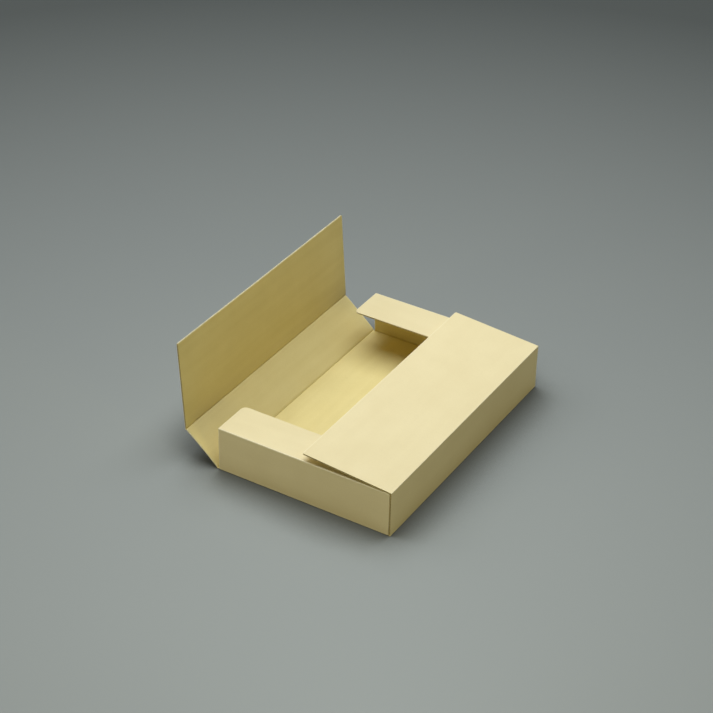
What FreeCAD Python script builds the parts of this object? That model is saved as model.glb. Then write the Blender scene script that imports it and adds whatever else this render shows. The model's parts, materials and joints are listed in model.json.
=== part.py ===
import FreeCAD, Part
import os
from collections import namedtuple

import Sketcher

# A wrap-around folding storage box, made from one creased blank of fine-fluted corrugated board.
# The base has a wall on each of its four sides. Each long side wall carries a lid half, and each
# short end wall carries an end flap. Every panel is a laminate of two flat liners with a fluted
# medium between them, and neighbouring panels meet at a crushed crease.
#
# The origin is the centre of the base's underside. Y is the long axis, Z is up, "right" is +X and
# "near" is -Y. The box stands half open: the right lid is down, the left wall leans out.
#
# Each panel is drawn flat in its own frame and then turned about its fold line. In that frame the
# fold line is the Y axis, X leads away from the fold along the panel, Z points to the side that
# faces into the closed box, and the middle of the board's thickness is at Z = 0.

# name, size in millimetres or degrees, meaning
SIZES = (
    ("box_length", 305.0, "outside length of the closed box, along Y"),
    ("box_width", 203.0, "outside width of the closed box, along X"),
    ("box_height", 52.0, "outside height of the closed box, along Z"),
    ("board", 1.6, "thickness of the corrugated board"),
    ("liner", 0.3, "thickness of each flat liner"),
    ("flute_pitch", 3.4, "distance from one flute to the next"),
    ("flute_crest", 0.7, "width of the flat crest that is glued to a liner"),
    ("flute_paper", 0.2, "height of the medium's paper, measured across the board"),
    ("flap_depth", 46.0, "reach of an end flap from its wall's outer face"),
    ("flap_corner", 6.0, "radius of an end flap's free corners"),
    ("end_clearance", 0.8, "gap between an end wall's side edge and the side wall's inner face"),
    ("crease_clearance", 0.15, "gap between a crushed crease and the panel that folds on it"),
    ("lid_clearance", 0.25, "gap between a closed lid half and the box's middle plane"),
    ("flap_clearance", 0.2, "gap between an end flap and a closed lid half above it"),
    ("fold_back_gap", 0.2, "gap between an end flap and its wall when folded flat together"),
    ("left_wall_rise", 41.0, "angle of the left wall above the floor"),
    ("left_lid_rise", 86.0, "angle of the left lid half above the floor, leaning outwards"),
    ("right_lid_lift", 4.3, "angle of the right lid half above level"),
)

BOARD = "sizes.board"
LINER = "sizes.liner"
PITCH = "sizes.flute_pitch"
CREST = "sizes.flute_crest"
PAPER = "sizes.flute_paper"
HALF_BOARD = "(sizes.board / 2)"
HALF_LENGTH = "(sizes.box_length / 2)"

# from a fold line to the edge of each panel that it joins
SETBACK = "(sizes.board / 2 + sizes.crease_clearance)"
# from the middle of the base to the fold lines of the side walls and of the end walls
SIDE_FOLD = "(sizes.box_width / 2 - sizes.board / 2)"
END_FOLD = "(sizes.box_length / 2 - sizes.board / 2)"
# from a side wall's lower fold line to its lid's fold line
SIDE_RISE = "(sizes.box_height - sizes.board)"
# half the width of the end walls and end flaps, which stand between the side walls
HALF_END = "(sizes.box_width / 2 - sizes.board - sizes.end_clearance)"
# an end flap's fold line lies just inside its wall's inner face and just under the flap
FLAP_UNDERSIDE = "(sizes.box_height - 2 * sizes.board - sizes.flap_clearance)"
FLAP_FOLD_Z = f"({FLAP_UNDERSIDE} - sizes.fold_back_gap / 2)"
FLAP_FOLD_Y = "(sizes.box_length / 2 - sizes.board - sizes.fold_back_gap / 2)"

# two sketch points nearer than this are the same point
LINEAR_MATCH = 1e-6

# Place: the origin's three coordinates, then yaw, pitch and roll. A pitch that follows a size is an
# expression, and any other is a number.
Place = namedtuple("Place", "origin yaw pitch roll")
# Panel: its edges along X (near the fold, then free), half its width along Y, whether its flutes
# run along Y or X, and whether its free corners are rounded.
Panel = namedtuple("Panel", "name place start stop half_width flutes rounded")


def make_sheet(doc):
    """The driving dimensions, one to a row, each with an alias."""
    sheet = doc.addObject("Spreadsheet::Sheet", "sizes")
    for row, (name, size, meaning) in enumerate(SIZES, start=1):
        sheet.set(f"A{row}", meaning)
        sheet.set(f"B{row}", str(size))
        sheet.setAlias(f"B{row}", name)
    doc.recompute()
    return sheet


def number(owner, expression):
    """An expression's present value, which a sketch needs before it is solved."""
    found = owner.evalExpression(expression)
    return float(getattr(found, "Value", found))


def turned(place):
    """The rotation of a place. A pitch that is an expression starts level and is bound later."""
    pitch = 0.0 if isinstance(place.pitch, str) else place.pitch
    return FreeCAD.Rotation(place.yaw, pitch, place.roll)


def bind_place(item, place):
    """Put a sub-part at its place and tie it to the sheet."""
    item.Placement = FreeCAD.Placement(FreeCAD.Vector(), turned(place))
    for axis, expression in zip("xyz", place.origin):
        item.setExpression(f"Placement.Base.{axis}", expression)
    if isinstance(place.pitch, str):
        item.setExpression("Placement.Rotation.Pitch", place.pitch)


def new_body(doc, label, place):
    body = doc.addObject("PartDesign::Body", label)
    body.Label = label
    bind_place(body, place)
    return body


def origin_feature(body, role):
    return next(item for item in body.Origin.OriginFeatures if item.Role == role)


def new_sketch(body, name, plane, lift="0"):
    """An empty sketch on one of the body's own planes, lifted along that plane's normal."""
    sketch = body.newObject("Sketcher::SketchObject", name)
    sketch.AttachmentSupport = (origin_feature(body, plane), [""])
    sketch.MapMode = "FlatFace"
    sketch.setExpression("AttachmentOffset.Base.z", lift)
    return sketch


def hold(sketch, kind, edge, point, expression):
    """Hold one end of an edge at a distance from the sketch's origin."""
    size = number(sketch, expression)
    index = sketch.addConstraint(Sketcher.Constraint(kind, -1, 1, edge, point, size))
    sketch.setExpression(f"Constraints[{index}]", expression)


def straight_edges(sketch, corners, closed):
    """Straight edges from corner to corner, every corner held by expressions of the sizes."""
    points = [FreeCAD.Vector(number(sketch, x), number(sketch, y), 0) for x, y in corners]
    onward = points[1:] + points[:1] if closed else points[1:]
    edges = [sketch.addGeometry(Part.LineSegment(*pair)) for pair in zip(points, onward)]
    for edge, following in zip(edges, edges[1:] + edges[:1] if closed else edges[1:]):
        sketch.addConstraint(Sketcher.Constraint("Coincident", edge, 2, following, 1))
    ends = [(edge, 1) for edge in edges] + ([] if closed else [(edges[-1], 2)])
    for (edge, point), (x, y) in zip(ends, corners):
        hold(sketch, "DistanceX", edge, point, x)
        hold(sketch, "DistanceY", edge, point, y)
    return edges


def corner_waste(sketch, panel, side):
    """What a rounded free corner loses: four edges that pass outside it, closed by the round."""
    radius = "sizes.flap_corner"
    sign = "-" if side < 0 else ""
    round_x = f"({panel.stop} - {radius})"
    round_y = f"{sign}({panel.half_width} - {radius})"
    outside_x = f"({panel.stop} + {BOARD})"
    outside_y = f"{sign}({panel.half_width} + {BOARD})"
    corners = (
        (round_x, f"{sign}{panel.half_width}"),
        (round_x, outside_y),
        (outside_x, outside_y),
        (outside_x, round_y),
        (panel.stop, round_y),
    )
    edges = straight_edges(sketch, corners, False)
    size = number(sketch, radius)
    start = sketch.getPoint(edges[0], 1)
    finish = sketch.getPoint(edges[-1], 2)
    centre = FreeCAD.Vector(start.x, finish.y, 0)
    middle = centre + FreeCAD.Vector(size, side * size, 0) / 2**0.5
    arc = sketch.addGeometry(Part.Arc(start, middle, finish))
    start_end, finish_end = (1, 2) if sketch.getPoint(arc, 1).isEqual(start, LINEAR_MATCH) else (2, 1)
    sketch.addConstraint(Sketcher.Constraint("Coincident", edges[0], 1, arc, start_end))
    sketch.addConstraint(Sketcher.Constraint("Coincident", edges[-1], 2, arc, finish_end))
    index = sketch.addConstraint(Sketcher.Constraint("Radius", arc, size))
    sketch.setExpression(f"Constraints[{index}]", radius)


def round_free_corners(body, panel):
    """Cut both free corners of a ply to the round that the whole flap has."""
    sketch = new_sketch(body, "corner_waste", "XY_Plane")
    corner_waste(sketch, panel, 1)
    corner_waste(sketch, panel, -1)
    pocket = body.newObject("PartDesign::Pocket", "rounded_corners")
    pocket.Profile = sketch
    pocket.Midplane = True
    pocket.setExpression("Length", f"2 * {BOARD}")
    body.Tip = pocket


def make_liner(doc, panel, side):
    """A flat liner: the outer one is the board's far side, the inner one faces into the box."""
    body = new_body(doc, f"{panel.name}_{side}_liner", panel.place)
    bottom = f"-{HALF_BOARD}" if side == "outer" else f"{HALF_BOARD} - {LINER}"
    half = panel.half_width
    corners = (
        (panel.start, f"-{half}"),
        (panel.stop, f"-{half}"),
        (panel.stop, half),
        (panel.start, half),
    )
    sketch = new_sketch(body, "liner_outline", "XY_Plane", bottom)
    straight_edges(sketch, corners, True)
    pad = body.newObject("PartDesign::Pad", "liner_sheet")
    pad.Profile = sketch
    pad.setExpression("Length", LINER)
    body.Tip = pad
    if panel.rounded:
        round_free_corners(body, panel)
    return body


def flute_corners(first):
    """One whole flute of the medium: half a low crest, up to a high crest, and down again."""
    low = f"(-{HALF_BOARD} + {LINER})"
    high = f"({HALF_BOARD} - {LINER} - {PAPER})"
    underside = (
        (first, low),
        (f"{first} + {CREST} / 2", low),
        (f"{first} + ({PITCH} - {CREST}) / 2", high),
        (f"{first} + ({PITCH} + {CREST}) / 2", high),
        (f"{first} + {PITCH} - {CREST} / 2", low),
        (f"{first} + {PITCH}", low),
    )
    upper_side = tuple((across, f"{height} + {PAPER}") for across, height in reversed(underside))
    return underside + upper_side


def make_medium(doc, panel):
    """The fluted medium: one flute, repeated as often as the panel's size allows, and centred."""
    body = new_body(doc, f"{panel.name}_fluted_medium", panel.place)
    along_y = panel.flutes == "Y"
    low = panel.start if along_y else f"(-{panel.half_width})"
    high = panel.stop if along_y else panel.half_width
    span = f"({high} - {low})"
    count = f"floor({span} / {PITCH})"
    first = f"({low} + ({span} - {count} * {PITCH}) / 2)"
    plane = "XZ_Plane" if along_y else "YZ_Plane"
    sketch = new_sketch(body, "flute_section", plane, "0" if along_y else panel.start)
    straight_edges(sketch, flute_corners(first), True)
    pad = body.newObject("PartDesign::Pad", "flute")
    pad.Profile = sketch
    pad.Midplane = along_y
    length = f"2 * {panel.half_width}" if along_y else f"{panel.stop} - {panel.start}"
    pad.setExpression("Length", length)
    pattern = body.newObject("PartDesign::LinearPattern", "flutes")
    pattern.Originals = [pad]
    pattern.Direction = (origin_feature(body, "X_Axis" if along_y else "Y_Axis"), [""])
    pattern.Mode = "Spacing"
    pattern.setExpression("Offset", PITCH)
    pattern.setExpression("Occurrences", count)
    pattern.Refine = True
    body.Tip = pattern
    if panel.rounded:
        round_free_corners(body, panel)
    return body


def make_panel(doc, panel):
    """The three plies of one panel."""
    outer = make_liner(doc, panel, "outer")
    medium = make_medium(doc, panel)
    inner = make_liner(doc, panel, "inner")
    return [outer, medium, inner]


def make_crease(doc, label, place, half_length):
    """A crushed crease that a panel swings on by up to a right angle: a web out to the fold line,
    and a half-round nose about the fold line. It belongs to the panel that stays behind."""
    web = doc.addObject("Part::Box", f"{label}_web")
    web.setExpression("Length", SETBACK)
    web.setExpression("Width", f"2 * {half_length}")
    web.setExpression("Height", BOARD)
    web.setExpression("Placement.Base.x", f"-{SETBACK}")
    web.setExpression("Placement.Base.y", f"-{half_length}")
    web.setExpression("Placement.Base.z", f"-{HALF_BOARD}")
    nose = doc.addObject("Part::Cylinder", f"{label}_nose")
    nose.Angle = 180
    nose.setExpression("Radius", HALF_BOARD)
    nose.setExpression("Height", f"2 * {half_length}")
    down = FreeCAD.Vector(0, 0, -1)
    away = FreeCAD.Vector(1, 0, 0)
    along = FreeCAD.Vector(0, -1, 0)
    nose.Placement = FreeCAD.Placement(FreeCAD.Vector(), FreeCAD.Rotation(down, away, along, "XYZ"))
    nose.setExpression("Placement.Base.y", half_length)
    crease = doc.addObject("Part::Fuse", label)
    crease.Label = label
    crease.Base = web
    crease.Tool = nose
    bind_place(crease, place)
    return crease


def make_flap_crease(doc, label, end):
    """The crease at the top of an end wall: a quarter round from the wall's outer face up to the
    flap's top. The fold line is its centre, so the flap can fold right down onto its wall."""
    crease = doc.addObject("Part::Cylinder", label)
    crease.Label = label
    crease.Angle = 90
    crease.setExpression("Radius", f"{BOARD} + sizes.fold_back_gap / 2")
    crease.setExpression("Height", f"2 * {HALF_END}")
    outwards = FreeCAD.Vector(0, end, 0)
    up = FreeCAD.Vector(0, 0, 1)
    along = FreeCAD.Vector(-1, 0, 0)
    first, second = (outwards, up) if end < 0 else (up, outwards)
    turn = FreeCAD.Rotation(first, second, along, "XYZ")
    crease.Placement = FreeCAD.Placement(FreeCAD.Vector(), turn)
    crease.setExpression("Placement.Base.x", HALF_END)
    crease.setExpression("Placement.Base.y", f"{end} * {FLAP_FOLD_Y}")
    crease.setExpression("Placement.Base.z", FLAP_FOLD_Z)
    return crease


def make_base(doc):
    place = Place(("0", "0", HALF_BOARD), 0, 0, 0)
    half_x = f"({SIDE_FOLD} - {SETBACK})"
    half_y = f"({END_FOLD} - {SETBACK})"
    return make_panel(doc, Panel("base", place, f"(-{half_x})", half_x, half_y, "Y", False))


def make_side(doc, side, wall, lid):
    """A side wall and its lid half, with the crease under each of them."""
    base_edge = Place(wall.origin, wall.yaw, 0, 0)
    lid_edge = Place(lid.origin, wall.yaw, wall.pitch, 0)
    wall_stop = f"({SIDE_RISE} - {SETBACK})"
    lid_stop = f"({SIDE_FOLD} - sizes.lid_clearance)"
    parts = make_panel(doc, Panel(f"{side}_wall", wall, SETBACK, wall_stop, HALF_LENGTH, "Y", False))
    parts += make_panel(doc, Panel(f"{side}_lid", lid, SETBACK, lid_stop, HALF_LENGTH, "Y", False))
    parts.append(make_crease(doc, f"{side}_base_crease", base_edge, HALF_LENGTH))
    parts.append(make_crease(doc, f"{side}_lid_crease", lid_edge, HALF_LENGTH))
    return parts


def make_left_side(doc):
    """The left wall leans outwards and its lid half stands up from it."""
    rise = "sizes.left_wall_rise"
    wall = Place((f"-{SIDE_FOLD}", "0", HALF_BOARD), 180, f"-{rise}", 0)
    lid_x = f"-{SIDE_FOLD} - {SIDE_RISE} * cos({rise})"
    lid_z = f"{HALF_BOARD} + {SIDE_RISE} * sin({rise})"
    lid = Place((lid_x, "0", lid_z), 180, "-sizes.left_lid_rise", 0)
    return make_side(doc, "left", wall, lid)


def make_right_side(doc):
    """The right wall is upright and its lid half lies over the box, its free edge a little raised."""
    wall = Place((SIDE_FOLD, "0", HALF_BOARD), 0, -90, 0)
    lid = Place((SIDE_FOLD, "0", f"{HALF_BOARD} + {SIDE_RISE}"), 180, "-sizes.right_lid_lift", 180)
    return make_side(doc, "right", wall, lid)


def make_end(doc, name, end):
    """An upright end wall with its level end flap; end is -1 for the near end and 1 for the far."""
    fold = ("0", f"{end} * {END_FOLD}", HALF_BOARD)
    wall = Place(fold, 90 * end, -90, 0)
    wall_stop = f"({FLAP_FOLD_Z} - {HALF_BOARD})"
    flap_middle = f"{FLAP_UNDERSIDE} + {HALF_BOARD}"
    flap = Place(("0", f"{end} * {FLAP_FOLD_Y}", flap_middle), -90 * end, 0, 180)
    flap_start = "sizes.crease_clearance"
    flap_stop = "(sizes.flap_depth - sizes.board - sizes.fold_back_gap / 2)"
    parts = make_panel(doc, Panel(f"{name}_end_wall", wall, SETBACK, wall_stop, HALF_END, "X", False))
    parts += make_panel(doc, Panel(f"{name}_end_flap", flap, flap_start, flap_stop, HALF_END, "X", True))
    parts.append(make_crease(doc, f"{name}_base_crease", Place(fold, 90 * end, 0, 0), HALF_END))
    parts.append(make_flap_crease(doc, f"{name}_flap_crease", end))
    return parts


def check(doc, parts):
    """Stop on any object that failed, and on any sub-part without one sound solid."""
    for item in doc.Objects:
        if "Invalid" in item.State or "Error" in item.State:
            raise RuntimeError(f"{item.Label} failed: {item.State}")
    for part in parts:
        if part.Shape.isNull() or not part.Shape.isValid() or len(part.Shape.Solids) != 1:
            raise RuntimeError(f"{part.Label} isn't one sound solid")


def main():
    doc = FreeCAD.newDocument("archival_box")
    make_sheet(doc)
    parts = make_base(doc)
    parts += make_left_side(doc)
    parts += make_right_side(doc)
    parts += make_end(doc, "near", -1)
    parts += make_end(doc, "far", 1)
    doc.recompute()
    check(doc, parts)
    os.makedirs("parts", exist_ok=True)
    for part in parts:
        part.Shape.exportStep(f"parts/{part.Label}.step")
        size = part.Shape.BoundBox
        print(f"{part.Label}: {size.XLength:.1f} x {size.YLength:.1f} x {size.ZLength:.1f} mm")


main()
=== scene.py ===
import json
import math
from collections import namedtuple

import bpy
import numpy as np
from mathutils import Matrix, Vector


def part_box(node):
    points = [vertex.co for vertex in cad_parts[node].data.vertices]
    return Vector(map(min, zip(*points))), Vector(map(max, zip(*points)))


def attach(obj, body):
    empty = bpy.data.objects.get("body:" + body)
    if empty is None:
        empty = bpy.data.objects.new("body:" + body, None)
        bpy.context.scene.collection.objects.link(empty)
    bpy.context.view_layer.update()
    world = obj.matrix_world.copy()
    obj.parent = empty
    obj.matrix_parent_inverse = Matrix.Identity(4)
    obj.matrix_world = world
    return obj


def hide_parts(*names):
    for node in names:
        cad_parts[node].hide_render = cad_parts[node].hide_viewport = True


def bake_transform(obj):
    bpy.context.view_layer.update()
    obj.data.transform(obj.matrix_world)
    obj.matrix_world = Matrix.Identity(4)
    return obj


# A folding storage box of cream fine-flute corrugated board, half open on a plain floor.
# Each panel of board is three sheets of paper: a flat outer liner, a fluted medium and a flat inner
# liner. Neighbouring panels meet at a crushed crease, which bends between them.
#
# A panel is drawn in its own frame: "along" leads away from its fold, "across" runs along the fold
# line, and "inward" points to the side that faces into the closed box, with the middle of the board
# at zero. The base has no fold of its own, so its frame starts from the middle of the box. Lengths
# are metres, and every mesh ends up in the frame that the CAD shares.

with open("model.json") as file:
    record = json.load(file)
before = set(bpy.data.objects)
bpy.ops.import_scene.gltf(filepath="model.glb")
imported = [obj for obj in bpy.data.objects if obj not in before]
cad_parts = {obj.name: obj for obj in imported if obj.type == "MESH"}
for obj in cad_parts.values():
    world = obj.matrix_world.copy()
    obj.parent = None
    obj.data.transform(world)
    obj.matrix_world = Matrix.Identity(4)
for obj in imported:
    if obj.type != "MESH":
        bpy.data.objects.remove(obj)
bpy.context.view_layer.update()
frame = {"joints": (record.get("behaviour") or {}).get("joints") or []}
JOINTS = {joint["name"]: joint for joint in frame["joints"]}
MM = 0.001

# ---------------------------------------------------------------------------------------------
# sizes
# ---------------------------------------------------------------------------------------------

# the thickness of the board and of its liners
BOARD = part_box("base_inner_liner")[1].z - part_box("base_outer_liner")[0].z
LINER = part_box("base_outer_liner")[1].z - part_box("base_outer_liner")[0].z
# from the middle of the box to the fold lines of the side walls and of the end walls
SIDE_FOLD = JOINTS["right_wall_fold"]["pos_m"][0]
END_FOLD = JOINTS["far_end_wall_fold"]["pos_m"][1]
# from a fold line to the nearest edge of the sheets
SETBACK = SIDE_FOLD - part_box("base_outer_liner")[1].x
# from a side wall's fold line to its lid's, and from an end wall's to its flap's
RISE = JOINTS["right_lid_fold"]["pos_m"][2] - JOINTS["right_wall_fold"]["pos_m"][2]
FLAP_RISE = JOINTS["near_end_flap_fold"]["pos_m"][2] - JOINTS["near_end_wall_fold"]["pos_m"][2]
# what the closed lid halves leave between them
LID_GAP = 0.5 * MM
LID_REACH = SIDE_FOLD - LID_GAP / 2
# the radius of the free corners
FLAP_CORNER = 6.0 * MM
LID_CORNER = 1.6 * MM

# the fluted medium: its pitch, its paper, and how square its waves are, from 0 for a cosine
FLUTE_PITCH = 3.4 * MM
MEDIUM_PAPER = 0.16 * MM
FLUTE_SQUARENESS = 1.5
# the washboard that the flutes print through the liners: its depth, and the wavelength and the
# least share of that depth's slow change
WASHBOARD = 0.010 * MM
WASHBOARD_WAVE = 23 * MM
WASHBOARD_LEAST = 0.3

# how far each face is pressed in by the knife at a cut along the flutes, where it slumps, and at
# a cut across them, where the flutes stay open, and how far in from the edge that reaches
EDGE_CRUSH = 0.24 * MM
OPEN_CRUSH = 0.06 * MM
EDGE_REACH = 0.8 * MM
# the panels held by their ends: their open flutes are pressed shut, and their open ends are pale,
# as rubbed paper and as a painted highlight
SHUT_PALE_END_PANELS = ("left_wall",)
# how far in from a cut edge the paper is pale, partly rubbed and partly a painted highlight
PALE_EDGE_REACH = 0.45 * MM
# the knife's line isn't straight: how far it draws in the near flap's free edge, the others' free
# edges, the ends of the end walls, which stand loose between the side walls, and the other ends
NEAR_FLAP_UNEVEN = 0.3 * MM
FREE_UNEVEN = 0.12 * MM
END_WALL_LOOSE = 0.3 * MM
END_LOOSE = 0.08 * MM
# how far in from a cut that fades out
CUT_FADE = 4 * MM
# stands for the distance to a cut that a panel doesn't have
FAR_AWAY = 1.0

# Score: how deep the inner face dips at a fold, and how far from the fold line it starts to dip
Score = namedtuple("Score", "depth reach")
WALL_SCORE = Score(0.9 * BOARD / 2, 2.6 * MM)
FLAP_SCORE = Score(0.35 * MM, 2.0 * MM)
# the outer face is pressed in a little beside the roll of a fold: how deep, how far away, how wide
OUTER_DIP = 0.13 * MM
OUTER_DIP_AT = 2.2 * MM
OUTER_DIP_REACH = 1.0 * MM
# how deep the roll of a crease is pressed in at most, and the wavelength of its slow change
ROLL_UNEVEN = 0.05 * MM
ROLL_WAVE = 13 * MM
# the power of the curve that the outside of a fold follows: 2 is round, more is squarer
FOLD_POWER = 4.0

# how far the middle of each panel bows to its inner side, and how far one that isn't named does
BOWS = {"left_wall": 0.72 * MM, "left_lid": 0.5 * MM, "right_lid": 0.35 * MM, "base": 0.2 * MM,
        "right_wall": 0.3 * MM}
SMALL_BOW = 0.06 * MM
# the left wall's bow: its share at the near end, and the power that moves its top to the fold
LEFT_WALL_LEAST = 0.4
LEFT_WALL_SKEW = 0.8
# how much of the half sine a lid's bow has run through at its free edge
LID_BOW_SPAN = 0.75

# the sines that a wander adds up, as how many turns each makes to the first's one and its height
WANDER_SINES = ((1.0, 1.0), (1.73, 0.6), (3.1, 0.4))
# Uneven: a slow change along an edge, by its wavelength, its least share and the seed of its phases
Uneven = namedtuple("Uneven", "wavelength least seed")
LID_BOW_LINE = Uneven(90 * MM, 0.7, 11)
PANEL_BOW_LINE = Uneven(110 * MM, 0.4, 13)
FREE_CUT_LINE = Uneven(47 * MM, 0.0, 17)
END_CUT_LINE = Uneven(30 * MM, 0.5, 19)

# grid steps: near every edge, along the flutes, along a crease, and round a free corner
EDGE_STEPS = np.array([0.0, 0.12, 0.3, 0.55, 0.9, 1.4, 2.1, 3.0]) * MM
WIDE_STEP = 6 * MM
CREASE_STEP = 2.5 * MM
CORNER_STEPS = 12
# grid steps in one pitch of the flutes, for each ply
PLY_STEPS = {"outer_liner": 6, "fluted_medium": 8, "inner_liner": 6}
# grid places that agree to this many decimals of a metre are one
SAME_DECIMALS = 7
# points of a fold's outside, of a flap fold's, and of the straight runs beside them
FOLD_POINTS = 21
FLAP_FOLD_POINTS = 33
RUN_POINTS = 5
# the groove inside a flap's fold takes every fourth of the outside's points
GROOVE_THINNING = 4
# a crease whose panel ends closer than this to the fold line has no straight run there
TOUCHING = 0.01 * MM

# ---------------------------------------------------------------------------------------------
# panels and creases
# ---------------------------------------------------------------------------------------------

# Panel: its frame, its reach from start to stop along and by half to each side across, whether its
# flutes run along, the radius of its free corners, and whether its edge at stop is a free one
Panel = namedtuple("Panel", "name origin along inward start stop half ridges_along corner "
                            "free_edge")


def direction(degrees):
    """The unit vector at that angle above +X, in the XZ plane: (cos, 0, sin)."""
    turn = math.radians(degrees)
    return np.array([math.cos(turn), 0.0, math.sin(turn)])


def fold_point(joint):
    """The middle of a fold line: its joint's place."""
    return np.array(JOINTS[joint]["pos_m"], float)


def make_panels():
    """The nine panels. The angles of the walls and lids at rest are the limits of their folds."""
    left_rise = -JOINTS["left_wall_fold"]["range_deg"][0]
    left_lid_rise = left_rise - JOINTS["left_lid_fold"]["range_deg"][0]
    right_lift = JOINTS["right_lid_fold"]["range_deg"][1]
    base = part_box("base_outer_liner")
    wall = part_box("near_end_wall_outer_liner")
    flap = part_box("near_end_flap_outer_liner")
    half_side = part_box("right_wall_outer_liner")[1].y
    near_wall = fold_point("near_end_wall_fold")
    near_flap = fold_point("near_end_flap_fold")
    far_flap = fold_point("far_end_flap_fold")
    flap_middle = flap[1].z - BOARD / 2
    side_reach = RISE - SETBACK
    end_reach = (SETBACK, wall[1].z - near_wall[2])
    flap_reach = (flap[0].y - near_flap[1], flap[1].y - near_flap[1])
    up = direction(90)
    ahead = np.array([0.0, 1.0, 0.0])

    def side(name, angle, inward, reach, corner=0.0):
        return Panel(name, fold_point(f"{name}_fold"), direction(angle), direction(inward), SETBACK,
                     reach, half_side, False, corner, corner > 0)

    def end(name, origin, along, inward, reach, corner=0.0):
        return Panel(name, origin, along, inward, *reach, wall[1].x, True, corner, corner > 0)

    return [
        Panel("base", np.array([0, 0, BOARD / 2]), direction(0), up, base[0].x, base[1].x,
              base[1].y, False, 0.0, False),
        side("left_wall", 180 - left_rise, 90 - left_rise, side_reach),
        side("left_lid", 180 - left_lid_rise, 90 - left_lid_rise, LID_REACH, LID_CORNER),
        side("right_wall", 90, 180, side_reach),
        side("right_lid", 180 - right_lift, 270 - right_lift, LID_REACH, LID_CORNER),
        end("near_end_wall", near_wall, up, ahead, end_reach),
        end("far_end_wall", fold_point("far_end_wall_fold"), up, -ahead, end_reach),
        end("near_end_flap", np.array([0, near_flap[1], flap_middle]), ahead, -up, flap_reach,
            FLAP_CORNER),
        end("far_end_flap", np.array([0, far_flap[1], flap_middle]), -ahead, -up, flap_reach,
            FLAP_CORNER),
    ]


PANELS = {panel.name: panel for panel in make_panels()}

# Crease: the panel behind the fold, the panel that swings on it, and the joint between them
Crease = namedtuple("Crease", "name behind swings joint")
CREASES = (
    Crease("left_base_crease", "base", "left_wall", "left_wall_fold"),
    Crease("right_base_crease", "base", "right_wall", "right_wall_fold"),
    Crease("near_base_crease", "base", "near_end_wall", "near_end_wall_fold"),
    Crease("far_base_crease", "base", "far_end_wall", "far_end_wall_fold"),
    Crease("left_lid_crease", "left_wall", "left_lid", "left_lid_fold"),
    Crease("right_lid_crease", "right_wall", "right_lid", "right_lid_fold"),
    Crease("near_flap_crease", "near_end_wall", "near_end_flap", "near_end_flap_fold"),
    Crease("far_flap_crease", "far_end_wall", "far_end_flap", "far_end_flap_fold"),
)

# ---------------------------------------------------------------------------------------------
# the shape of the board
# ---------------------------------------------------------------------------------------------


def wander(position, wavelength, seed):
    """A smooth uneven line between -1 and 1: half the sum of three sines of unrelated wavelengths,
    with phases drawn from the seed."""
    phases = np.random.default_rng(seed).uniform(0, 2 * math.pi, len(WANDER_SINES))
    turns = 2 * math.pi * np.asarray(position) / wavelength
    sines = [height * np.sin(pace * turns + phase)
             for (pace, height), phase in zip(WANDER_SINES, phases)]
    return sum(sines) / 2


def at_least(least, wave):
    """A wave of -1 to 1, carried to a share of least to 1."""
    return (1 + least) / 2 + (1 - least) / 2 * wave


def uneven_share(uneven, position):
    """The share that an uneven line leaves at each position: its wander, carried to least to 1."""
    return at_least(uneven.least, wander(position, uneven.wavelength, uneven.seed))


def name_seed(name):
    """A seed for each name: the sum of its letters' numbers."""
    return sum(map(ord, name))


def score_dip(score, distance):
    """How far the inner face dips towards a scored fold: a parabola that ends at its reach."""
    return score.depth * np.clip(1 - distance / score.reach, 0, 1) ** 2


def outer_dip(distance):
    """How far the outer face dips beside the roll of a fold: a bell curve OUTER_DIP_AT away."""
    return OUTER_DIP * np.exp(-(((distance - OUTER_DIP_AT) / OUTER_DIP_REACH) ** 2))


def edge_crush(depth, distance):
    """How far each face is pressed in by the knife at a cut edge: half a bell curve."""
    return depth * np.exp(-((distance / EDGE_REACH) ** 2))


def half_width(panel, along):
    """Half the panel's width, less what its round free corners take: r - sqrt(r^2 - x^2)."""
    into_corner = np.clip(along - (panel.stop - panel.corner), 0, panel.corner)
    return panel.half - panel.corner + np.sqrt(panel.corner**2 - into_corner**2)


def cut_distances(panel, along, across):
    """Distances from the nearest cut that runs along the flutes and the nearest that crosses
    them."""
    side = half_width(panel, along) - np.abs(across)
    end = panel.stop - along if panel.free_edge else np.full_like(side, FAR_AWAY)
    return (side, end) if panel.ridges_along else (end, side)


def fold_distances(panel, along, across):
    """Distances from each of the panel's folds, with the score that its inner face has there."""
    if panel.name == "base":
        return [(SIDE_FOLD - np.abs(along), WALL_SCORE), (END_FOLD - np.abs(across), WALL_SCORE)]
    if panel.name.endswith("_flap"):
        return [(along, FLAP_SCORE)]
    if panel.name.endswith("end_wall"):
        return [(along, WALL_SCORE), (FLAP_RISE - along, FLAP_SCORE)]
    if panel.name.endswith("_wall"):
        return [(along, WALL_SCORE), (RISE - along, WALL_SCORE)]
    return [(along, WALL_SCORE)]


def bow(panel, along, across):
    """How far the board is bowed to its inner side: a half sine from fold to edge, times a line
    along the fold. That line rises evenly along the left wall and wanders on the other panels. A
    lid is flat at its two ends, where the flaps lie under it, and stays bowed at its free edge."""
    height = BOWS.get(panel.name, SMALL_BOW)
    share = (along - panel.start) / (panel.stop - panel.start)
    place = across / panel.half
    if panel.name == "left_wall":
        lengthways = at_least(LEFT_WALL_LEAST, place)
        share = share**LEFT_WALL_SKEW
    elif panel.name.endswith("_lid"):
        lengthways = (1 - place**2) ** 2 * uneven_share(LID_BOW_LINE, across)
        share = LID_BOW_SPAN * share
    else:
        lengthways = uneven_share(PANEL_BOW_LINE, across)
    return height * np.sin(math.pi * share) * lengthways


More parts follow.
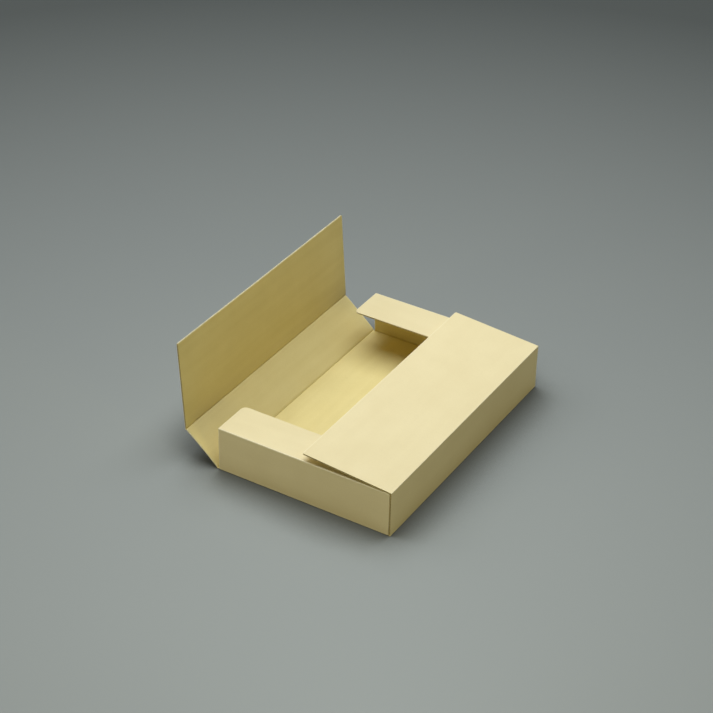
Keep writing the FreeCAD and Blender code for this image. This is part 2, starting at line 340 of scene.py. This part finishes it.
def washboard(panel, ridge, phase):
    """The flutes' print through a liner: (1 - cos) / 2 of the flute's pitch, uneven in depth."""
    uneven = Uneven(WASHBOARD_WAVE, WASHBOARD_LEAST, name_seed(panel.name))
    print_through = (1 - np.cos(2 * math.pi * ridge / FLUTE_PITCH + phase)) / 2
    return WASHBOARD * uneven_share(uneven, ridge) * print_through


def board_faces(panel, along, across):
    """Heights of the board's outer and inner faces over its middle plane, on the same grid: the
    bow, plus or minus half the board, less the washboard, the deepest dip and the crush."""
    ridge = across if panel.ridges_along else along
    middle = bow(panel, along, across)
    folds = fold_distances(panel, along, across)
    outer_dips = [outer_dip(distance) for distance, _ in folds]
    inner_dips = [score_dip(score, distance) for distance, score in folds]
    outer_in = washboard(panel, ridge, math.pi) + np.max(outer_dips, axis=0)
    inner_in = washboard(panel, ridge, 0.0) + np.max(inner_dips, axis=0)
    # the base has folds all round it and no cut
    if panel.name != "base":
        slumped, opened = cut_distances(panel, along, across)
        open_depth = EDGE_CRUSH if panel.name in SHUT_PALE_END_PANELS else OPEN_CRUSH
        crushed = np.maximum(edge_crush(EDGE_CRUSH, slumped), edge_crush(open_depth, opened))
        outer_in = outer_in + crushed
        inner_in = inner_in + crushed
    return middle - BOARD / 2 + outer_in, middle + BOARD / 2 - inner_in


def grid_places(start, stop, step):
    """Grid places from start to stop: close together near both edges, then evenly spaced."""
    inside = stop - start - 2 * EDGE_STEPS[-1]
    count = max(2, round(inside / step))
    even = np.linspace(start + EDGE_STEPS[-1], stop - EDGE_STEPS[-1], count + 1)
    return np.concatenate([start + EDGE_STEPS[:-1], even, (stop - EDGE_STEPS[:-1])[::-1]])


def panel_grid(panel, steps):
    """The grid of a panel: fine steps across its flutes, wide steps along them. Across a round
    corner the grid narrows with the board, so its rim is the board's true outline."""
    fine = FLUTE_PITCH / steps
    along_step, across_step = (WIDE_STEP, fine) if panel.ridges_along else (fine, WIDE_STEP)
    along = grid_places(panel.start, panel.stop, along_step)
    if panel.corner:
        turn = np.radians(np.linspace(0, 90, CORNER_STEPS + 1))
        bend = panel.stop - panel.corner * (1 - np.sin(turn))
        along = np.unique(np.round(np.concatenate([along, bend]), SAME_DECIMALS))
    across = grid_places(-panel.half, panel.half, across_step) / panel.half
    along, across = np.meshgrid(along, across, indexing="ij")
    return along, across * half_width(panel, along)


def uneven_cut(panel, along, across):
    """The grid with its cut edges drawn in by uneven depths, as the knife leaves them. The depth
    fades out evenly over CUT_FADE inside the edge. The base has no cut, so its grid stays."""
    if panel.name == "base":
        return along, across
    side = half_width(panel, along) - np.abs(across)
    loose = END_WALL_LOOSE if panel.name.endswith("end_wall") else END_LOOSE
    near_side = np.clip(1 - side / CUT_FADE, 0, 1)
    drawn = across - np.sign(across) * near_side * (loose * uneven_share(END_CUT_LINE, along))
    if not panel.free_edge:
        return along, drawn
    depth = NEAR_FLAP_UNEVEN if panel.name == "near_end_flap" else FREE_UNEVEN
    near_edge = np.clip(1 - (panel.stop - along) / CUT_FADE, 0, 1)
    return along - near_edge * depth * uneven_share(FREE_CUT_LINE, across), drawn


def in_shared_frame(origin, axes, distances):
    """Points at the given distances along three axes from an origin."""
    return origin + sum(distance[..., None] * axis for distance, axis in zip(distances, axes))


# ---------------------------------------------------------------------------------------------
# meshes
# ---------------------------------------------------------------------------------------------


def new_mesh(name, points, quads, caps, smooth, uv, marks):
    """A mesh from whole arrays: quads, then a few many-sided caps. uv has two numbers per point,
    and marks holds named numbers per point, which the papers read."""
    mesh = bpy.data.meshes.new(name)
    mesh.vertices.add(len(points))
    mesh.vertices.foreach_set("co", points.astype(np.float32).ravel())
    corners = np.concatenate([quads.ravel()] + [np.asarray(cap) for cap in caps]).astype(np.int32)
    sizes = np.concatenate([np.full(len(quads), 4), [len(cap) for cap in caps]]).astype(np.int32)
    starts = np.concatenate([[0], np.cumsum(sizes)[:-1]]).astype(np.int32)
    mesh.loops.add(len(corners))
    mesh.loops.foreach_set("vertex_index", corners)
    mesh.polygons.add(len(sizes))
    mesh.polygons.foreach_set("loop_start", starts)
    mesh.polygons.foreach_set("use_smooth", smooth)
    mesh.update(calc_edges=True)
    layer = mesh.uv_layers.new(name="board")
    layer.data.foreach_set("uv", uv[corners].astype(np.float32).ravel())
    for mark, values in marks.items():
        attribute = mesh.attributes.new(mark, "FLOAT", "POINT")
        attribute.data.foreach_set("value", values.astype(np.float32).ravel())
    mesh.validate()
    piece = bpy.data.objects.new(name, mesh)
    bpy.context.scene.collection.objects.link(piece)
    return piece


def rim_loop(number):
    """A grid's outline as point numbers, anticlockwise as seen from the high side."""
    return np.concatenate([number[:-1, 0], number[-1, :-1], number[:0:-1, -1], number[0, :0:-1]])


def sheet_mesh(name, low, high, uv, wear):
    """A closed sheet between two grids of points: both faces smooth, and a flat rim round them."""
    rows, columns = low.shape[:2]
    count = rows * columns
    number = np.arange(count).reshape(rows, columns)
    cells = np.stack([number[:-1, :-1], number[1:, :-1], number[1:, 1:], number[:-1, 1:]], axis=-1)
    cells = cells.reshape(-1, 4)
    loop = rim_loop(number)
    onward = np.roll(loop, -1)
    rim = np.stack([loop, onward, onward + count, loop + count], axis=-1)
    quads = np.concatenate([cells[:, ::-1], cells + count, rim])
    smooth = np.arange(len(quads)) < 2 * len(cells)
    points = np.concatenate([low.reshape(-1, 3), high.reshape(-1, 3)])
    return new_mesh(name, points, quads, [], smooth, np.tile(uv.reshape(-1, 2), (2, 1)),
                    {"wear": np.tile(wear.ravel(), 2)})


def make_plies(panel):
    """The three sheets of a panel. The liners follow the board's faces. The medium runs between
    them: its middle is the board's plus half the room between the liners, less its own paper,
    times a softly squared cosine, tanh(s cos) / tanh(s)."""
    axes = (panel.along, np.cross(panel.inward, panel.along), panel.inward)
    pieces = []
    for ply, steps in PLY_STEPS.items():
        along, across = panel_grid(panel, steps)
        outer, inner = board_faces(panel, along, across)
        if ply == "outer_liner":
            low, high = outer, outer + LINER
        elif ply == "inner_liner":
            low, high = inner - LINER, inner
        else:
            ridge = across if panel.ridges_along else along
            wave = np.tanh(FLUTE_SQUARENESS * np.cos(2 * math.pi * ridge / FLUTE_PITCH))
            wave = wave / math.tanh(FLUTE_SQUARENESS)
            gap = inner - outer - 2 * LINER - MEDIUM_PAPER
            middle = (inner + outer) / 2 + gap / 2 * wave
            low, high = middle - MEDIUM_PAPER / 2, middle + MEDIUM_PAPER / 2
        uv = np.stack([along, across], axis=-1)
        moved = uneven_cut(panel, along, across)
        low = in_shared_frame(panel.origin, axes, (*moved, low))
        high = in_shared_frame(panel.origin, axes, (*moved, high))
        slumped, opened = cut_distances(panel, along, across)
        # cut edges are painted pale: partly rubbed paper, partly a painted highlight where the edge
        # catches the light
        edge = np.minimum(slumped, opened) if panel.name in SHUT_PALE_END_PANELS else slumped
        wear = np.exp(-((edge / PALE_EDGE_REACH) ** 2))
        piece = sheet_mesh(f"{panel.name}_{ply}_paper", low, high, uv, wear)
        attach(piece, panel.name)
        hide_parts(f"{panel.name}_{ply}")
        pieces.append((piece, ply))
    return pieces


def fold_outside(radius, angle, steps):
    """The outside of a fold, from one outer face round to the other: a quarter of the curve
    x^p + y^p = 1, sheared so that it touches both faces where they are level with the fold line."""
    start = np.array([0.0, -radius])
    end = radius * np.array([math.sin(angle), -math.cos(angle)])
    corner = np.array([radius * math.tan(angle / 2), -radius])
    turn = np.linspace(0, math.pi / 2, steps)
    reach = (np.cos(turn) ** FOLD_POWER + np.sin(turn) ** FOLD_POWER) ** (-1 / FOLD_POWER)
    return (start + end - corner + (reach * np.cos(turn))[:, None] * (corner - end)
            + (reach * np.sin(turn))[:, None] * (corner - start))


def crease_section(heights, angle, reaches, crushed, roll):
    """The outline of a crease in the plane across its fold line, once for each station along it:
    x leads on from the panel behind, y points to its inner side, and the fold line is at (0, 0).
    The outer side runs straight, round the bend, and straight on along the swinging panel. The
    inner side comes back down one dip and up the other. The third value says how pale the outer
    side is painted: the square of a half sine over the bend. That paleness is partly rubbed paper
    and partly a painted highlight along the roll."""
    outer_radius, inner = heights
    crushed, roll = crushed[:, None], roll[:, None]
    is_flap = inner < 0
    score = FLAP_SCORE if is_flap else WALL_SCORE
    steps = FLAP_FOLD_POINTS if is_flap else FOLD_POINTS
    lead = np.linspace(reaches[0], 0, RUN_POINTS + 1)[:-1] if reaches[0] else np.zeros(0)
    follow = np.linspace(0, reaches[1], RUN_POINTS + 1)[1:]
    turned = np.array([[math.cos(angle), math.sin(angle)], [-math.sin(angle), math.cos(angle)]])

    def line(x, y):
        return np.stack(np.broadcast_arrays(x, y), axis=-1)

    turn = np.linspace(0, angle, steps)
    bump = np.sin(math.pi * turn / angle) ** 2
    before = line(-lead, -(outer_radius - outer_dip(lead) - crushed))
    radius = outer_radius - outer_dip(0.0)
    pressed = 1 - (crushed + roll * bump) / radius
    bend = fold_outside(radius, angle, steps) * pressed[..., None]
    after = line(follow, -(outer_radius - outer_dip(follow) - crushed)) @ turned
    back = line(follow[::-1], inner - score_dip(score, follow[::-1]) - crushed) @ turned
    if is_flap:
        groove_radius = score.depth - inner + crushed
        groove_turn = turn[::-GROOVE_THINNING]
        groove = line(groove_radius * np.sin(groove_turn), -groove_radius * np.cos(groove_turn))
    else:
        bottom = line(np.zeros(1), np.full_like(crushed, inner - score.depth))
        groove = np.concatenate([bottom @ turned, bottom], axis=1)
    home = line(-lead[::-1], inner - score_dip(score, lead[::-1]) - crushed)
    # the roll of the bend is painted pale: partly rubbed paper, partly a painted highlight
    worn_and_highlight = np.concatenate([np.zeros_like(lead), bump, np.zeros_like(follow)])
    return [before, bend, after], [back, groove, home], worn_and_highlight


def make_crease(crease):
    """One crease: its outline carried along the fold line. The roll wanders a little in depth, and
    both faces are pressed in at the cut ends, as the board's are."""
    behind, swings = PANELS[crease.behind], PANELS[crease.swings]
    axis = fold_point(crease.joint)
    toward = axis - behind.origin
    inward = behind.inward
    ahead = behind.along
    edge_behind = behind.stop
    if crease.behind == "base":
        ahead = np.round(toward / np.abs(toward).max())
        edge_behind = abs(ahead[0]) * behind.stop + abs(ahead[1]) * behind.half
    angle = math.atan2(swings.along @ inward, swings.along @ ahead)
    reach_behind = toward @ ahead - edge_behind
    reaches = (reach_behind if reach_behind > TOUCHING else 0.0, swings.start)
    heights = (BOARD / 2 + toward @ inward, BOARD / 2 - toward @ inward)
    stations = grid_places(-swings.half, swings.half, CREASE_STEP)
    slumps = swings.ridges_along or swings.name in SHUT_PALE_END_PANELS
    crushed = edge_crush(EDGE_CRUSH if slumps else OPEN_CRUSH, swings.half - np.abs(stations))
    roll = ROLL_UNEVEN * uneven_share(Uneven(ROLL_WAVE, 0.0, name_seed(crease.name)), stations)
    outer, inner, worn_and_highlight = crease_section(heights, angle, reaches, crushed, roll)
    section = np.concatenate(outer + inner, axis=1)
    across = np.cross(inward, ahead)
    points = (axis + section[..., 0, None] * ahead + section[..., 1, None] * inward
              + stations[:, None, None] * across)
    rows, columns = section.shape[:2]
    number = np.arange(rows * columns).reshape(rows, columns)
    onward = np.roll(number, -1, axis=1)
    quads = np.stack([number[:-1], number[1:], onward[1:], onward[:-1]], axis=-1).reshape(-1, 4)
    caps = [number[0], number[-1][::-1]]
    smooth = np.arange(len(quads) + len(caps)) < len(quads)
    # the board map's first number is the distance round the outline, and the second is the station
    sides = np.linalg.norm(np.diff(section[rows // 2], axis=0), axis=1)
    girth = np.concatenate([[0.0], np.cumsum(sides)])
    uv = np.stack(np.broadcast_arrays(girth, stations[:, None]), axis=-1).reshape(-1, 2)
    wear, inside = np.zeros((2, rows, columns))
    wear[:, : len(worn_and_highlight)] = worn_and_highlight
    inside[:, len(worn_and_highlight) :] = 1.0
    name = f"{crease.name}_board"
    marks = {"wear": wear, "inside": inside}
    piece = new_mesh(name, points.reshape(-1, 3), quads, caps, smooth, uv, marks)
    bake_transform(piece)
    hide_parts(crease.name)
    return piece


# ---------------------------------------------------------------------------------------------
# paper
# ---------------------------------------------------------------------------------------------


class Nodes:
    """A material's node tree, with short calls for the nodes that the papers and the floor need."""

    def __init__(self, name):
        self.material = bpy.data.materials.new(name)
        self.material.use_nodes = True
        self.tree = self.material.node_tree
        self.tree.nodes.clear()
        self.shader = self.tree.nodes.new("ShaderNodeBsdfPrincipled")
        output = self.tree.nodes.new("ShaderNodeOutputMaterial")
        self.link(self.shader.outputs["BSDF"], output.inputs["Surface"])

    def link(self, source, target):
        """A link from a node's output to another's input."""
        self.tree.links.new(source, target)

    def place(self, source, scale):
        """The object's own coordinates or its board map, scaled."""
        if source == "object":
            coordinates = self.tree.nodes.new("ShaderNodeTexCoord").outputs["Object"]
        else:
            layer = self.tree.nodes.new("ShaderNodeUVMap")
            layer.uv_map = source
            coordinates = layer.outputs["UV"]
        mapping = self.tree.nodes.new("ShaderNodeMapping")
        mapping.inputs["Scale"].default_value = scale
        self.link(coordinates, mapping.inputs["Vector"])
        return mapping.outputs["Vector"]

    def noise(self, place, detail, roughness=0.5):
        """Cloud noise, one cell to each unit of the place."""
        noise = self.tree.nodes.new("ShaderNodeTexNoise")
        noise.inputs["Scale"].default_value = 1.0
        noise.inputs["Detail"].default_value = detail
        noise.inputs["Roughness"].default_value = roughness
        self.link(place, noise.inputs["Vector"])
        return noise.outputs["Fac"]

    def mark(self, name):
        """The numbers that a mesh holds under that name."""
        mark = self.tree.nodes.new("ShaderNodeAttribute")
        mark.attribute_name = name
        return mark.outputs["Fac"]

    def spread(self, value, span, carried):
        """A value's span, low and high, carried evenly to another, and held at its ends."""
        node = self.tree.nodes.new("ShaderNodeMapRange")
        for name, number in zip(("From Min", "From Max", "To Min", "To Max"), (*span, *carried)):
            node.inputs[name].default_value = number
        self.link(value, node.inputs["Value"])
        return node.outputs["Result"]

    def maths(self, operation, first, second):
        """The sum or the product of two values."""
        node = self.tree.nodes.new("ShaderNodeMath")
        node.operation = operation
        self.link(first, node.inputs[0])
        self.link(second, node.inputs[1])
        return node.outputs["Value"]

    def mix(self, share, first, second):
        """The first colour where the share is 0, and the second where it is 1."""
        node = self.tree.nodes.new("ShaderNodeMix")
        node.data_type = "RGBA"
        self.link(share, node.inputs["Factor"])
        sockets = [socket for socket in node.inputs if socket.type == "RGBA"]
        for socket, value in zip(sockets, (first, second)):
            if isinstance(value, tuple):
                socket.default_value = (*value, 1.0)
            else:
                self.link(value, socket)
        return next(socket for socket in node.outputs if socket.type == "RGBA")


def linear(red, green, blue):
    """A colour written as 0 to 255 sRGB, as the linear numbers that shaders use: the sRGB curve,
    which is straight near black and a power above that."""
    shares = np.array([red, green, blue]) / 255
    low = shares / 12.92
    high = ((shares + 0.055) / 1.055) ** 2.4
    return tuple(float(value) for value in np.where(shares <= 0.04045, low, high))


TONE = linear(234, 220, 176)
DEEP = linear(222, 206, 159)
# the pale colour of rubbed paper and of the painted highlight on fold rolls and cut edges
PALE_WEAR_AND_HIGHLIGHT = linear(244, 236, 206)
INNER_TONE = linear(233, 217, 153)
INNER_DEEP = linear(219, 201, 133)
MEDIUM_TONE = linear(192, 172, 118)
MEDIUM_DEEP = linear(176, 156, 103)

# noise cells in a metre, for the clouds of tone, the fibres and the specks
CLOUDS = (28, 28, 28)
FIBRES = (900, 900, 900)
SPECKS = (420, 420, 420)
# the same for the streaks, away from the fold and then along it
OUTER_STREAKS = (60, 8, 1)
INNER_STREAKS = (90, 5, 1)
CREASE_STREAKS = (60, 60, 1)
# the span that a noise mostly keeps to, and the top of it that makes a speck
NOISE_SPAN = (0.3, 0.7)
SPECK_SPAN = (0.66, 0.78)
# how far the clouds and the fibres push the tone to either side, and the span of the whole push
CLOUD_PUSH = 0.35
FIBRE_PUSH = 0.4
PUSH_SPAN = (-1.25, 1.25)
# how strongly a speck shows, and a pale place of rubbed paper and painted highlight, from between
# the fibres to on them
SPECK_SHARE = 0.35
RUB_AND_HIGHLIGHT_SHARE = (0.45, 0.9)
PAPER_ROUGHNESS = (0.56, 0.7)
RELIEF_STRENGTH = 0.25
RELIEF = 0.05 * MM


def paper(name, tone, deep, streaks, streakiness, lining=None):
    """Uncoated cream board paper: cloudy tone over a few centimetres, faint streaks along the fold
    line, short fibres and specks, and paler along the roll of a fold and at a cut edge, partly as
    rubbed paper and partly as a painted highlight. Clouds, streaks and fibres add up to a push from
    the deep tone to the tone. The fibres also raise the surface a little and break up its dull
    shine. A crease is one piece, so it has its outer paper and, as its lining, the tone and the
    deep tone of its inner paper."""
    nodes = Nodes(name)
    cloud = nodes.noise(nodes.place("object", CLOUDS), detail=3.0)
    streak = nodes.noise(nodes.place("board", streaks), detail=2.0)
    fibre = nodes.noise(nodes.place("object", FIBRES), detail=3.0, roughness=0.65)
    speck = nodes.noise(nodes.place("object", SPECKS), detail=1.0)
    push = nodes.maths("ADD", nodes.spread(cloud, NOISE_SPAN, (-CLOUD_PUSH, CLOUD_PUSH)),
                       nodes.spread(streak, NOISE_SPAN, (-streakiness, streakiness)))
    push = nodes.maths("ADD", push, nodes.spread(fibre, NOISE_SPAN, (-FIBRE_PUSH, FIBRE_PUSH)))
    share = nodes.spread(push, PUSH_SPAN, (0.0, 1.0))
    colour = nodes.mix(share, deep, tone)
    if lining:
        lining_tone, lining_deep = lining
        colour = nodes.mix(nodes.mark("inside"), colour, nodes.mix(share, lining_deep, lining_tone))
    colour = nodes.mix(nodes.spread(speck, SPECK_SPAN, (0.0, SPECK_SHARE)), colour, deep)
    # pale mix along fold rolls and cut edges: partly rubbed paper, partly a painted highlight
    rubbed_and_highlight = nodes.maths("MULTIPLY", nodes.mark("wear"),
                         nodes.spread(fibre, NOISE_SPAN, RUB_AND_HIGHLIGHT_SHARE))
    colour = nodes.mix(rubbed_and_highlight, colour, PALE_WEAR_AND_HIGHLIGHT)
    nodes.link(colour, nodes.shader.inputs["Base Color"])
    nodes.link(nodes.spread(fibre, NOISE_SPAN, PAPER_ROUGHNESS), nodes.shader.inputs["Roughness"])
    nodes.shader.inputs["Specular IOR Level"].default_value = 0.5
    relief = nodes.tree.nodes.new("ShaderNodeBump")
    relief.inputs["Strength"].default_value = RELIEF_STRENGTH
    relief.inputs["Distance"].default_value = RELIEF
    nodes.link(fibre, relief.inputs["Height"])
    nodes.link(relief.outputs["Normal"], nodes.shader.inputs["Normal"])
    return nodes.material


PAPERS = {
    "outer_liner": paper("outer_paper", TONE, DEEP, OUTER_STREAKS, streakiness=0.25),
    "inner_liner": paper("inner_paper", INNER_TONE, INNER_DEEP, INNER_STREAKS, streakiness=0.42),
    "fluted_medium": paper("medium_paper", MEDIUM_TONE, MEDIUM_DEEP, OUTER_STREAKS,
                           streakiness=0.3),
    "crease": paper("crease_paper", TONE, DEEP, CREASE_STREAKS, streakiness=0.25,
                    lining=(INNER_TONE, INNER_DEEP)),
}

# ---------------------------------------------------------------------------------------------
# the box
# ---------------------------------------------------------------------------------------------

for panel in PANELS.values():
    for piece, ply in make_plies(panel):
        piece.data.materials.append(PAPERS[ply])
for crease in CREASES:
    make_crease(crease).data.materials.append(PAPERS["crease"])

# ---------------------------------------------------------------------------------------------
# floor, light and camera
# ---------------------------------------------------------------------------------------------

CAMERA_AZIMUTH = math.radians(30.79)
CAMERA_ELEVATION = math.radians(33.61)
CAMERA_ROLL = math.radians(1.22)
CAMERA_DISTANCE = 2.1928
CAMERA_TARGET = np.array([-0.0896, 0.09725, 0.0])
CAMERA_LENS = 101.2

# Lamp: its place, what it faces, its two sides in metres, its watts and its colour
Lamp = namedtuple("Lamp", "name place target width depth watts colour")
LAMPS = (
    Lamp("overhead", (-0.25, 0.37, 1.90), (-0.02, 0.0, 0.0), 1.9, 2.1, 46.0, (0.93, 0.97, 1.0)),
    Lamp("left", (-2.24, -0.28, 1.82), (0.0, 0.0, 0.0), 1.7, 1.7, 13.5, (0.98, 0.99, 1.0)),
    Lamp("low_left", (-1.17, -2.47, 0.36), (0.0, 0.0, 0.03), 1.55, 0.6, 16.5, (1.0, 0.93, 0.64)),
    Lamp("low_right", (2.4, -0.9, 0.42), (0.0, 0.0, 0.03), 1.2, 0.6, 9.0, (1.0, 0.87, 0.3)),
)
WORLD_COLOUR = (1.0, 0.9, 0.62)
WORLD_STRENGTH = 0.1
BACKDROP = linear(122, 127, 126)

FLOOR_HALF = 6.0
# the floor lies this far under the box, so that their faces don't share a plane
FLOOR_DROP = 0.2 * MM
# the middle of the floor's painted pool of light, in front of the box, and how far from it the
# painted light falls off
FLOOR_LIGHT_POOL = (0.25, -0.42, 0.0)
FLOOR_FADE = 1.6
# the floor's colour inside the painted pool of light and far from it
FLOOR_PALE = linear(160, 165, 163)
FLOOR_DIM = linear(82, 86, 85)
# painted shade on the floor where the box shelters it, deeper than the lamps' own shadow: how near
# the box has to be, the shares of open view from the deepest shelter to none, and what the deepest
# leaves of the floor's tone
PAINTED_SHADE_REACH = 0.08
PAINTED_SHADE_SPAN = (0.58, 0.9)
PAINTED_SHADE_LEAST = 0.45


def stand(thing, right, up, back, place):
    """Put a camera or a lamp into the scene at its place, facing away from its back."""
    bpy.context.scene.collection.objects.link(thing)
    matrix = np.eye(4)
    matrix[:3] = np.column_stack([right, up, back, place])
    thing.matrix_world = Matrix(matrix.tolist())


def make_camera():
    """The camera looks at its target from its azimuth and elevation, and leans by its roll."""
    level = np.array([math.sin(CAMERA_AZIMUTH), -math.cos(CAMERA_AZIMUTH), 0.0])
    back = level * math.cos(CAMERA_ELEVATION) + np.array([0, 0, math.sin(CAMERA_ELEVATION)])
    right = np.cross(-level, [0.0, 0.0, 1.0])
    up = np.cross(back, right)
    leaned_right = math.cos(CAMERA_ROLL) * right + math.sin(CAMERA_ROLL) * up
    leaned_up = math.cos(CAMERA_ROLL) * up - math.sin(CAMERA_ROLL) * right
    data = bpy.data.cameras.new("camera")
    data.sensor_width = 36.0
    data.lens = CAMERA_LENS
    data.clip_start = 0.05
    data.clip_end = 50.0
    camera = bpy.data.objects.new("camera", data)
    stand(camera, leaned_right, leaned_up, back, CAMERA_TARGET + back * CAMERA_DISTANCE)
    bpy.context.scene.camera = camera


def make_lamp(lamp):
    """A soft rectangular lamp that faces its target, with its width square to the Y axis."""
    data = bpy.data.lights.new(lamp.name, "AREA")
    data.shape = "RECTANGLE"
    data.size = lamp.width
    data.size_y = lamp.depth
    data.energy = lamp.watts
    data.color = lamp.colour
    light = bpy.data.objects.new(lamp.name, data)
    light.visible_camera = False
    back = np.array(lamp.place, float) - np.array(lamp.target, float)
    back /= np.linalg.norm(back)
    right = np.cross([0.0, 1.0, 0.0], back)
    right /= np.linalg.norm(right)
    stand(light, right, np.cross(back, right), back, lamp.place)


def make_floor():
    """A wide plain floor. Its colour carries a painted pool of light, which falls off evenly with
    the distance from its middle, and a painted shade where the box shelters it from the light."""
    half = FLOOR_HALF
    mesh = bpy.data.meshes.new("floor")
    mesh.from_pydata([(-half, -half, 0), (half, -half, 0), (half, half, 0), (-half, half, 0)], [],
                     [(0, 1, 2, 3)])
    floor = bpy.data.objects.new("floor", mesh)
    floor.location.z = -FLOOR_DROP
    bpy.context.scene.collection.objects.link(floor)
    nodes = Nodes("floor")
    place = nodes.tree.nodes.new("ShaderNodeTexCoord").outputs["Object"]
    away = nodes.tree.nodes.new("ShaderNodeVectorMath")
    away.operation = "DISTANCE"
    away.inputs[1].default_value = FLOOR_LIGHT_POOL
    nodes.link(place, away.inputs[0])
    share = nodes.spread(away.outputs["Value"], (0.0, FLOOR_FADE), (0.0, 1.0))
    colour = nodes.mix(share, FLOOR_PALE, FLOOR_DIM)
    # painted contact shade: the floor's colour darkens where the box is near
    shade_occlusion = nodes.tree.nodes.new("ShaderNodeAmbientOcclusion")
    shade_occlusion.inputs["Distance"].default_value = PAINTED_SHADE_REACH
    shade_occlusion.samples = 8
    painted_shade = nodes.spread(shade_occlusion.outputs["AO"], PAINTED_SHADE_SPAN, (PAINTED_SHADE_LEAST, 1.0))
    nodes.link(nodes.mix(painted_shade, (0.0, 0.0, 0.0), colour), nodes.shader.inputs["Base Color"])
    nodes.shader.inputs["Roughness"].default_value = 0.8
    nodes.shader.inputs["Specular IOR Level"].default_value = 0.2
    mesh.materials.append(nodes.material)


def make_world():
    """A faint warm light from all around. Seen straight, in a gloss or through a clear piece, it is
    as grey as the floor's far part."""
    world = bpy.data.worlds.new("studio")
    bpy.context.scene.world = world
    world.use_nodes = True
    tree = world.node_tree
    background = tree.nodes["Background"]
    background.inputs["Color"].default_value = (*WORLD_COLOUR, 1.0)
    background.inputs["Strength"].default_value = WORLD_STRENGTH
    seen = tree.nodes.new("ShaderNodeBackground")
    seen.inputs["Color"].default_value = (*BACKDROP, 1.0)
    path = tree.nodes.new("ShaderNodeLightPath")
    straight = path.outputs["Is Camera Ray"]
    for ray in ("Is Glossy Ray", "Is Transmission Ray"):
        either = tree.nodes.new("ShaderNodeMath")
        either.operation = "MAXIMUM"
        tree.links.new(straight, either.inputs[0])
        tree.links.new(path.outputs[ray], either.inputs[1])
        straight = either.outputs["Value"]
    mix = tree.nodes.new("ShaderNodeMixShader")
    tree.links.new(straight, mix.inputs["Fac"])
    tree.links.new(background.outputs["Background"], mix.inputs[1])
    tree.links.new(seen.outputs["Background"], mix.inputs[2])
    tree.links.new(mix.outputs["Shader"], tree.nodes["World Output"].inputs["Surface"])


make_floor()
make_world()
for lamp in LAMPS:
    make_lamp(lamp)
make_camera()
bpy.context.scene.view_settings.view_transform = "Standard"
